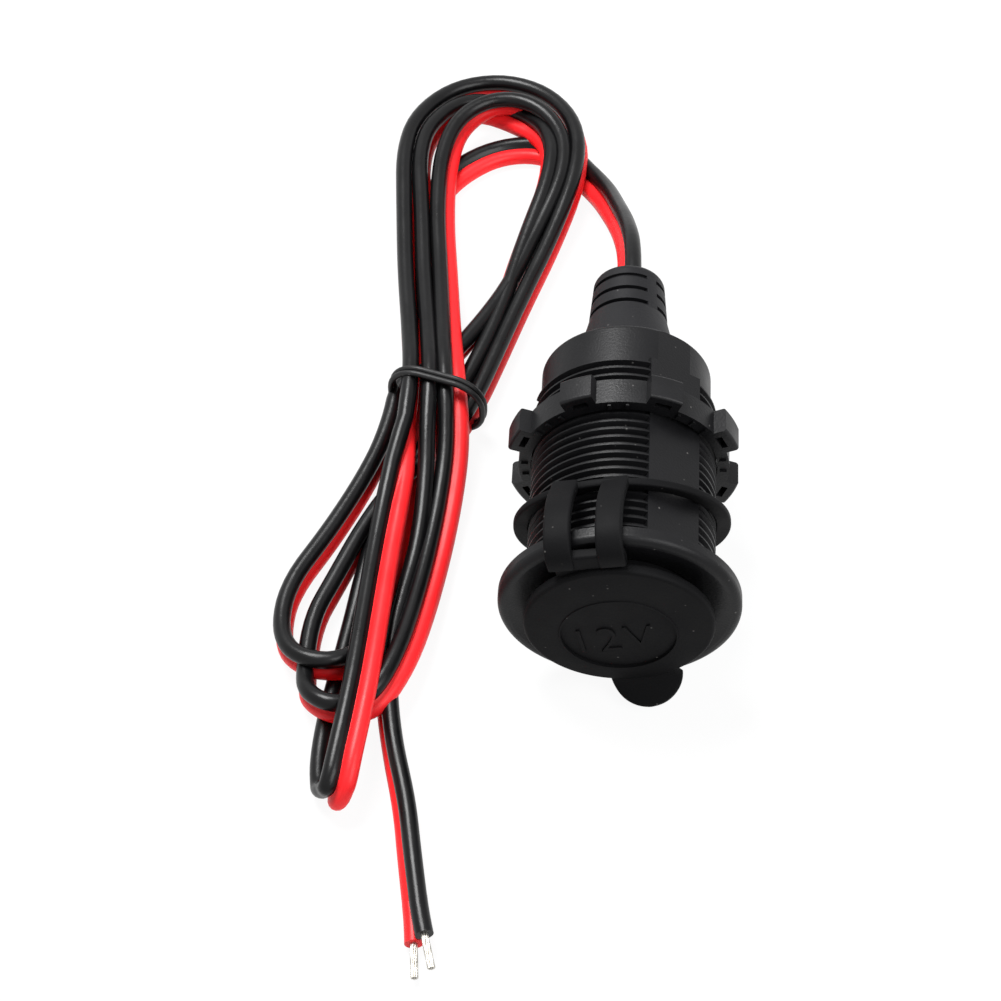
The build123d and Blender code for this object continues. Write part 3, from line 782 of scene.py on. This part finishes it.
thread_length = THREAD_END - COLLAR_END - THREAD_PITCH
thread = grow("barrel_thread", thread_tree(), {
    "Root": ROOT_R * MM,
    "Crest": CREST_R * MM,
    "Start": (COLLAR_END + THREAD_PITCH / 2) * MM,
    "Length": thread_length * MM,
    "Turns": thread_length / THREAD_PITCH,
    "Pitch": THREAD_PITCH * MM,
    "Flat Angle": math.radians(FLAT_ANGLE),
    "Flat Plane": (FLAT_PLANE - FLAT_SINK) * MM,
    "Steps": THREAD_STEPS,
}, ABS)
thread.data.shade_smooth()
thread.data.set_sharp_from_angle(angle=math.radians(THREAD_SHARP))

# Bare strands: bundle of fine strands round one in the middle, seated a little in the core's cut
STRAND_COUNT = 8
STRAND_R = 0.17
BUNDLE_R = 0.42
STRAND_SEAT = 0.6
STRAND_STEPS = 14


def strand_tree():
    """Twisted bundle of fine strands along Z."""
    tree, given = start_tree(
        "wire_strands", ("Bundle", "Strand", "Length", "Twist"), ("Strands", "Steps")
    )
    spots = add_node(
        tree, "GeometryNodeMeshCircle", {},
        {"Vertices": given["Strands"], "Radius": given["Bundle"]},
    )
    far = add_node(tree, "ShaderNodeCombineXYZ", {}, {"Z": given["Length"]})
    line = add_node(tree, "GeometryNodeCurvePrimitiveLine", {}, {"End": far.outputs[0]})
    fine = add_node(
        tree, "GeometryNodeResampleCurve", {}, {"Curve": line.outputs[0], "Count": given["Steps"]}
    )
    bundle = add_node(tree, "GeometryNodeJoinGeometry")
    spread = add_node(
        tree, "GeometryNodeInstanceOnPoints", {},
        {"Points": spots.outputs["Mesh"], "Instance": fine.outputs[0]},
    )
    tree.links.new(spread.outputs[0], bundle.inputs[0])
    tree.links.new(fine.outputs[0], bundle.inputs[0])
    real = add_node(tree, "GeometryNodeRealizeInstances", {}, {0: bundle.outputs[0]})
    place = add_node(tree, "GeometryNodeInputPosition")
    apart = add_node(tree, "ShaderNodeSeparateXYZ", {}, {0: place.outputs[0]})
    share = add_node(
        tree, "ShaderNodeMath", {"operation": "DIVIDE"}, {0: apart.outputs["Z"], 1: given["Length"]}
    )
    angle = add_node(
        tree, "ShaderNodeMath", {"operation": "MULTIPLY"}, {0: share.outputs[0], 1: given["Twist"]}
    )
    wound = add_node(
        tree, "ShaderNodeVectorRotate", {"rotation_type": "Z_AXIS"},
        {"Vector": place.outputs[0], "Angle": angle.outputs[0]},
    )
    twisted = add_node(
        tree, "GeometryNodeSetPosition", {},
        {"Geometry": real.outputs[0], "Position": wound.outputs[0]},
    )
    wire = add_node(
        tree, "GeometryNodeCurvePrimitiveCircle", {"Resolution": 8}, {"Radius": given["Strand"]}
    )
    solid = add_node(
        tree, "GeometryNodeCurveToMesh", {"Fill Caps": True},
        {"Curve": twisted.outputs[0], "Profile Curve": wire.outputs["Curve"]},
    )
    whole = add_node(tree, "GeometryNodeRealizeInstances", {}, {0: solid.outputs[0]})
    coated = add_node(
        tree, "GeometryNodeSetMaterial", {"Material": TINNED}, {"Geometry": whole.outputs[0]}
    )
    add_node(tree, "NodeGroupOutput", {}, {0: coated.outputs[0]})
    return tree


STRANDS = strand_tree()


def bare_end(name, tip, way, twist):
    """Bare strands standing out of a core's cut end, twisted by an angle in radians."""
    made = grow(name, STRANDS, {
        "Bundle": BUNDLE_R * MM,
        "Strand": STRAND_R * MM,
        "Length": (BARE_L + STRAND_SEAT) * MM,
        "Twist": twist,
        "Strands": STRAND_COUNT,
        "Steps": STRAND_STEPS,
    }, TINNED)
    turn = way.to_track_quat("Z", "Y").to_matrix().to_4x4()
    start = tip - way * STRAND_SEAT
    made.data.transform(Matrix.Translation(start * MM) @ turn)
    made.data.shade_smooth()
    return made


black_strands = bare_end("black_bare_strands", black_tip, black_way, twist=1.7)
red_strands = bare_end("red_bare_strands", red_tip, red_way, twist=1.5)


# Tie round the waist of the hank: its place on the floor, its turn, and its wire's radius and laps
TIE_PLACE = (-30.85, 46.7)
TIE_TURN = math.radians(-16.0)
TIE_HALF_W = 8.0
TIE_HALF_H = 5.8
TIE_CORNER = 5.2
TIE_WIRE = 0.5
TIE_PITCH = 1.05
TIE_LAPS = 2


def tie_tree():
    """Rounded ring of round wire, laid in laps side by side."""
    tree, given = start_tree(
        "hank_tie", ("Width", "Height", "Corner", "Wire", "Pitch"), ("Laps",)
    )
    frame_line = add_node(
        tree, "GeometryNodeCurvePrimitiveQuadrilateral", {},
        {"Width": given["Width"], "Height": given["Height"]},
    )
    rounded = add_node(
        tree, "GeometryNodeFilletCurve", {"mode": "POLY", "Count": 10},
        {"Curve": frame_line.outputs["Curve"], "Radius": given["Corner"]},
    )
    wire = add_node(
        tree, "GeometryNodeCurvePrimitiveCircle", {"Resolution": 14}, {"Radius": given["Wire"]}
    )
    band = add_node(
        tree, "GeometryNodeCurveToMesh", {},
        {"Curve": rounded.outputs[0], "Profile Curve": wire.outputs["Curve"]},
    )
    step = add_node(tree, "ShaderNodeCombineXYZ", {}, {"Z": given["Pitch"]})
    spots = add_node(
        tree, "GeometryNodeMeshLine", {"mode": "OFFSET"},
        {"Count": given["Laps"], "Offset": step.outputs[0]},
    )
    laps = add_node(
        tree, "GeometryNodeInstanceOnPoints", {},
        {"Points": spots.outputs["Mesh"], "Instance": band.outputs["Mesh"]},
    )
    real = add_node(tree, "GeometryNodeRealizeInstances", {}, {0: laps.outputs[0]})
    coated = add_node(
        tree, "GeometryNodeSetMaterial", {"Material": TIE_COAT}, {"Geometry": real.outputs[0]}
    )
    add_node(tree, "NodeGroupOutput", {}, {0: coated.outputs[0]})
    return tree


tie = grow("hank_tie", tie_tree(), {
    "Width": 2 * TIE_HALF_W * MM,
    "Height": 2 * TIE_HALF_H * MM,
    "Corner": TIE_CORNER * MM,
    "Wire": TIE_WIRE * MM,
    "Pitch": TIE_PITCH * MM,
    "Laps": TIE_LAPS,
}, TIE_COAT)
tie_middle = Vector((TIE_PLACE[0], TIE_PLACE[1], FLOOR_Z + TIE_HALF_H + TIE_WIRE))
tie.data.transform(
    Matrix.Translation(tie_middle * MM)
    @ Matrix.Rotation(TIE_TURN, 4, "Z")
    @ Matrix.Rotation(math.pi / 2, 4, "X")
    @ Matrix.Translation((0, 0, -TIE_PITCH / 2 * MM))
)
tie.data.shade_smooth()


# Rubber cap: ring, two strap bars and lid

def cap_turned(mesh):
    """Turns a mesh made upright to the cap's place round the socket."""
    mesh.transform(Matrix.Rotation(-CAP_TURN, 4, "Y"))
    return mesh


RING_EDGE = 0.4
RING_STEPS = 120


def ring_band():
    """Flat ring, tilted on the barrel, with a bore that runs true to the barrel."""
    rings = []
    for step in range(RING_STEPS):
        angle = 2 * math.pi * step / RING_STEPS
        lean = math.hypot(math.cos(angle), math.sin(angle) * math.cos(RING_TILT))
        inner = RING_BORE / lean
        middle = (inner + RING_R) / 2
        band = [(middle + u, v) for u, v in rounded_bar(RING_R - inner, RING_T, RING_EDGE)]
        rings.append([(r * math.cos(angle), v, r * math.sin(angle)) for r, v in band])
    return skin(rings, endless=True)


ring_mesh = mesh_from("cap_ring_band", ring_band())
ring_mesh.transform(Matrix.Translation((0, RING_Y * MM, 0)) @ Matrix.Rotation(RING_TILT, 4, "X"))
ring = put("cap_ring_band", cap_turned(ring_mesh), [RUBBER])

# Each strap bar bends from the ring, over the bezel's rim, down to the lid's cross-bar: (y, z)
STRAP_LINE = [
    (10.7, 15.2), (9.3, 15.9), (7.0, 17.6), (4.0, 19.2), (0.6, 19.75), (-2.2, 19.7), (-4.1, 18.4),
    (-4.6, 16.8), (-4.5, 15.4),
]
STRAP_EDGE = 0.4
STRAP_STEPS = 6


def strap_bar(name, x_middle):
    """One flat strap bar, with its bend across the lid's hinge."""
    line = smooth_line([(x_middle, y, z) for y, z in STRAP_LINE], STRAP_STEPS)
    section = rounded_bar(STRAP_W, STRAP_T, STRAP_EDGE)
    rings = []
    for middle, way in zip(line, headings(line)):
        out = Vector((1, 0, 0)).cross(way)
        rings.append([middle + Vector((u, 0, 0)) + out * v for u, v in section])
    return put(name, cap_turned(mesh_from(name, skin(rings))), [RUBBER])


straps = [
    strap_bar("cap_strap_left", STRAP_X - STRAP_SPACING / 2),
    strap_bar("cap_strap_right", STRAP_X + STRAP_SPACING / 2),
]


# Steps round the lid and on each round of its rim
LID_STEPS = 128
RIM_STEPS = 6
# Eased lip of the skirt, outside and inside
SKIRT_OUTER_EASE = 0.4
SKIRT_INNER_EASE = 0.3


def rim_arc(middle_y, first):
    """Quarter round on the lid's rim, from a first angle in degrees, as (radius, y) points."""
    arc = []
    for step in range(RIM_STEPS + 1):
        angle = math.radians(first + 90 * step / RIM_STEPS)
        radius = LID_R - LID_EDGE + LID_EDGE * math.cos(angle)
        arc.append((radius, middle_y + LID_EDGE * math.sin(angle)))
    return arc


def lid_outline():
    """Half section of the lid with rounded rims, from its front centre to its rear centre."""
    inner = SKIRT_R - SKIRT_WALL
    skirt = [
        (SKIRT_R, LID_REAR),
        (SKIRT_R, SKIRT_END - SKIRT_OUTER_EASE),
        (SKIRT_R - SKIRT_OUTER_EASE, SKIRT_END),
        (inner + SKIRT_INNER_EASE, SKIRT_END),
        (inner, SKIRT_END - SKIRT_INNER_EASE),
        (inner, LID_REAR),
    ]
    front_rim = rim_arc(LID_FRONT + LID_EDGE, -90)
    rear_rim = rim_arc(LID_REAR - LID_EDGE, 0)
    return [(0, LID_FRONT), *front_rim, *rear_rim, *skirt, (0, LID_REAR)]


# Pull tab: (y, z) down its middle, its half width, and how much narrower its neck is
TAB_LINE = [(-4.5, -11.6), (-4.5, -13.6), (-4.9, -15.2), (-6.1, -16.4), (-8.6, -17.6)]
TAB_HALF_W = 5.6
TAB_X = 1.85
TAB_NECK = 1.0
TAB_NECK_L = 4.4
TAB_T = 1.3
TAB_STEPS = 8
TAB_STATIONS = 26
# Round end of the tab: its half width at the very end, and the share of its thickness left there
TAB_END_HALF_W = 0.4
TAB_END_T = 0.55
# Rounded edge of the tab, and the most it takes of the thickness and of the half width
TAB_EDGE = 0.5
TAB_EDGE_OF_T = 0.45
TAB_EDGE_OF_HALF_W = 0.9


def pull_tab():
    """Round-ended tab that bends forwards off the lid's edge."""
    line = smooth_line([(TAB_X, y, z) for y, z in TAB_LINE], TAB_STEPS)
    reach = [0.0]
    for before, here in zip(line, line[1:]):
        reach.append(reach[-1] + (here - before).length)
    total = reach[-1]
    rings = []
    for step in range(TAB_STATIONS + 1):
        share = 1 - (1 - step / TAB_STATIONS) ** 2
        place = share * total
        k = max(i for i in range(len(reach)) if reach[i] <= place + 1e-9)
        k = min(k, len(line) - 2)
        part = (place - reach[k]) / (reach[k + 1] - reach[k])
        middle = line[k].lerp(line[k + 1], part)
        way = (line[k + 1] - line[k]).normalized()
        out = Vector((1, 0, 0)).cross(way)
        left = total - place
        half = TAB_HALF_W - TAB_NECK * max(0.0, 1 - place / TAB_NECK_L)
        if left < TAB_HALF_W:
            half = math.sqrt(max(TAB_HALF_W**2 - (TAB_HALF_W - left)**2, TAB_END_HALF_W**2))
        thick = TAB_T * min(1.0, TAB_END_T + left)
        corner = min(TAB_EDGE, thick * TAB_EDGE_OF_T, half * TAB_EDGE_OF_HALF_W)
        section = rounded_bar(2 * half, thick, corner)
        rings.append([middle + Vector((u, 0, 0)) + out * v for u, v in section])
    return skin(rings)


# Bar that joins the strap bars, and the thinner web that carries it on the lid:
# (half width, y, thickness, z, height)
STRAPS_HALF_W = (STRAP_SPACING + STRAP_W) / 2
BAR = (STRAPS_HALF_W, -4.0, 1.8, 16.2, 3.2)
BAR_WEB = (STRAPS_HALF_W - 0.8, -4.0, 1.0, 13.6, 4.2)
BAR_EDGE = 0.45
# Eased ends of a bar: (distance from the end, share of the full section)
BAR_ENDS = [(0.0, 0.7), (0.3, 0.95), (0.6, 1.0)]


def cross_bar(half, middle_y, thick, middle_z, height):
    """Bar across the lid's top, in line with the two strap bars."""
    section = rounded_bar(thick, height, BAR_EDGE)
    ends = [(inset - half, share) for inset, share in BAR_ENDS]
    ends += [(half - inset, share) for inset, share in reversed(BAR_ENDS)]
    rings = []
    for end_x, share in ends:
        x = STRAP_X + end_x
        rings.append([(x, middle_y + u * share, middle_z + v * share) for u, v in section])
    return skin(rings)


def joined(base, others, way):
    """Base mesh with other closed meshes added to it or cut from it."""
    carrier = put("join", base, [])
    helpers = []
    for other in others:
        helper = put("join_part", other, [])
        helpers.append(helper)
        modifier = carrier.modifiers.new("join", "BOOLEAN")
        modifier.operation = way
        modifier.solver = "EXACT"
        modifier.object = helper
    mesh = plain_mesh(carrier)
    for used in (carrier, *helpers):
        bpy.data.objects.remove(used)
    return mesh


# Round recess for the rating mark, with a low rim: the rim's foot is sunk in the lid's face, and
# its top and foot reach past the recess
MARK_FLOOR = LID_FRONT + MARK_DEPTH
MARK_STEPS = 96
MARK_CUT_ROOM = 1
RIM_SINK = 0.2
RIM_INNER = 0.1
RIM_TOP = 0.2
RIM_FOOT = 0.4


def mark_disc(name, outline):
    """Turned mesh on the mark's middle, which lies below the lid's."""
    mesh = mesh_from(name, lathe(outline, MARK_STEPS))
    mesh.transform(Matrix.Translation(
        (-MARK_SHIFT * math.sin(CAP_TURN) * MM, 0, -MARK_SHIFT * math.cos(CAP_TURN) * MM)
    ))
    return mesh


def lid_shape():
    """Lid with its tab, the bar on its web and the mark's rim, and the mark's recess cut in."""
    foot_y = LID_FRONT + RIM_SINK
    top_y = LID_FRONT - MARK_RIM
    rim = mark_disc("rim", [
        (MARK_R - RIM_INNER, foot_y), (MARK_R - RIM_INNER, top_y),
        (MARK_R + RIM_TOP, top_y), (MARK_R + RIM_FOOT, foot_y),
    ])
    added = [
        mesh_from("tab", pull_tab()), mesh_from("web", cross_bar(*BAR_WEB)),
        mesh_from("bar", cross_bar(*BAR)), rim,
    ]
    disc = mesh_from("lid_disc", lathe(lid_outline(), LID_STEPS))
    whole = joined(disc, added, "UNION")
    cut_y = LID_FRONT - MARK_CUT_ROOM
    recess = mark_disc("mark", [(0, cut_y), (MARK_R, cut_y), (MARK_R, MARK_FLOOR), (0, MARK_FLOOR)])
    mesh = joined(whole, [recess], "DIFFERENCE")
    mesh.name = "cap_lid_disc"
    mesh.shade_smooth()
    mesh.set_sharp_from_angle(angle=math.radians(HARD_EDGE))
    return mesh


lid = put("cap_lid_disc", cap_turned(lid_shape()), [RUBBER])

# Plain rating mark on the lid: letters that stand up from the floor of the recess
MARK_TEXT_H = 6.0
MARK_TEXT_W = 11.4
MARK_TEXT_AT = (-1.0, -3.2)
MARK_RAISE = 0.22
MARK_SINK = 0.1
LETTER_SPACING = 1.12
LETTER_WEIGHT = -0.012


def rating_letters():
    """Letters of the rating mark as a mesh, scaled to their width and height."""
    words = bpy.data.curves.new("rating_mark", "FONT")
    words.body = "12V"
    words.align_x = "CENTER"
    words.align_y = "CENTER"
    words.space_character = LETTER_SPACING
    words.offset = LETTER_WEIGHT
    words.extrude = 0.5
    carrier = bpy.data.objects.new("rating_mark_text", words)
    bpy.context.scene.collection.objects.link(carrier)
    mesh = plain_mesh(carrier)
    bpy.data.objects.remove(carrier)
    xs = [v.co.x for v in mesh.vertices]
    ys = [v.co.y for v in mesh.vertices]
    size_x = MARK_TEXT_W / (max(xs) - min(xs))
    size_y = MARK_TEXT_H / (max(ys) - min(ys))
    middle_x = (max(xs) + min(xs)) / 2
    middle_y = (max(ys) + min(ys)) / 2
    for v in mesh.vertices:
        x = (v.co.x - middle_x) * size_x + MARK_TEXT_AT[0]
        z = (v.co.y - middle_y) * size_y + MARK_TEXT_AT[1]
        y = MARK_FLOOR - MARK_RAISE if v.co.z > 0 else MARK_FLOOR + MARK_SINK
        v.co = Vector((x, y, z)) * MM
    mesh.name = "rating_mark"
    return mesh


rating_mark = put("rating_mark", cap_turned(rating_letters()), [RUBBER])


# What each piece rides on and stands for, with a finish name for each that nothing reads
for made, slot_name, nodes in (
    (twin_lead, "twin_lead", ("cable_lead", "cable_hank", "cable_tail")),
    (black_core, "black_insulation", ("black_core_end",)),
    (red_core, "red_insulation", ("red_core_end",)),
    (black_strands, "tinned_strand", ("black_wire_strands",)),
    (red_strands, "tinned_strand", ("red_wire_strands",)),
    (tie, "tie_plastic", ("cable_tie",)),
    (thread, "black_moulding", ()),
    (ring, "cap_rubber", ("cap_ring",)),
):
    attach(made, "socket")
    if nodes:
        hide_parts(*nodes)
for made in (lid, rating_mark):
    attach(made, "lid")
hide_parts("cap_lid")
for strap in straps:
    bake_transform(strap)


# Floor, backdrop light and lamps
FLOOR_SIZE = 4000.0
FLOOR_DROP = 0.05
# Share of plain white that the eye sees on the floor; the rest takes the object's shadow
SWEEP_WHITE = 0.93
SOFT_LIGHT = 0.26


def backdrop_seen(tree):
    """1 for rays that see the plain white backdrop: the eye's, and those in gloss and glass."""
    path = add_node(tree, "ShaderNodeLightPath")
    gloss = add_node(
        tree, "ShaderNodeMath", {"operation": "MAXIMUM"},
        {0: path.outputs["Is Camera Ray"], 1: path.outputs["Is Glossy Ray"]},
    )
    glass = add_node(
        tree, "ShaderNodeMath", {"operation": "MAXIMUM"},
        {0: gloss.outputs[0], 1: path.outputs["Is Transmission Ray"]},
    )
    return glass.outputs[0]


def studio_sweep():
    """Matt white paper sweep: the eye sees plain white with a faint shadow of the object."""
    material = bpy.data.materials.new("white_studio_sweep")
    material.use_nodes = True
    tree = material.node_tree
    tree.nodes.clear()
    matt = add_node(tree, "ShaderNodeBsdfDiffuse", {"Color": tone("#f4f4f4")})
    glow = add_node(tree, "ShaderNodeEmission", {"Color": tone("#ffffff"), "Strength": 1.0})
    share = add_node(
        tree, "ShaderNodeMath", {"operation": "MULTIPLY", 1: SWEEP_WHITE}, {0: backdrop_seen(tree)}
    )
    both = add_node(
        tree, "ShaderNodeMixShader", {},
        {0: share.outputs[0], 1: matt.outputs[0], 2: glow.outputs[0]},
    )
    add_node(tree, "ShaderNodeOutputMaterial", {}, {"Surface": both.outputs[0]})
    return material


def studio_world():
    """Soft light from all round, behind a backdrop that looks plain white."""
    world = bpy.data.worlds.new("studio")
    world.use_nodes = True
    tree = world.node_tree
    tree.nodes.clear()
    soft = add_node(
        tree, "ShaderNodeBackground", {"Color": tone("#f2f4f8"), "Strength": SOFT_LIGHT}
    )
    white = add_node(tree, "ShaderNodeBackground", {"Color": tone("#ffffff"), "Strength": 1.0})
    both = add_node(
        tree, "ShaderNodeMixShader", {},
        {0: backdrop_seen(tree), 1: soft.outputs[0], 2: white.outputs[0]},
    )
    add_node(tree, "ShaderNodeOutputWorld", {}, {"Surface": both.outputs[0]})
    return world


floor_grid = bmesh.new()
bmesh.ops.create_grid(floor_grid, x_segments=1, y_segments=1, size=FLOOR_SIZE / 2 * MM)
floor_mesh = mesh_from("floor", floor_grid)
floor_mesh.transform(Matrix.Translation((0, 0, (FLOOR_Z - FLOOR_DROP) * MM)))
floor = put("floor", floor_mesh, [studio_sweep()])
bpy.context.scene.world = studio_world()


def lamp(name, place, aim, width, power):
    """Soft square lamp that looks at a point."""
    data = bpy.data.lights.new(name, "AREA")
    data.shape = "SQUARE"
    data.size = width * MM
    data.energy = power
    made = bpy.data.objects.new(name, data)
    way = Vector(aim) - Vector(place)
    turn = way.to_track_quat("-Z", "Y").to_matrix().to_4x4()
    made.matrix_world = Matrix.Translation(Vector(place) * MM) @ turn
    bpy.context.scene.collection.objects.link(made)


OBJECT_MIDDLE = (-15.0, 40.0, -10.0)
lamp("key_lamp", (-200.0, 240.0, 560.0), OBJECT_MIDDLE, width=280.0, power=7.2)
lamp("fill_lamp", (330.0, -160.0, 420.0), OBJECT_MIDDLE, width=360.0, power=2.6)

bpy.context.scene.view_settings.view_transform = "Standard"
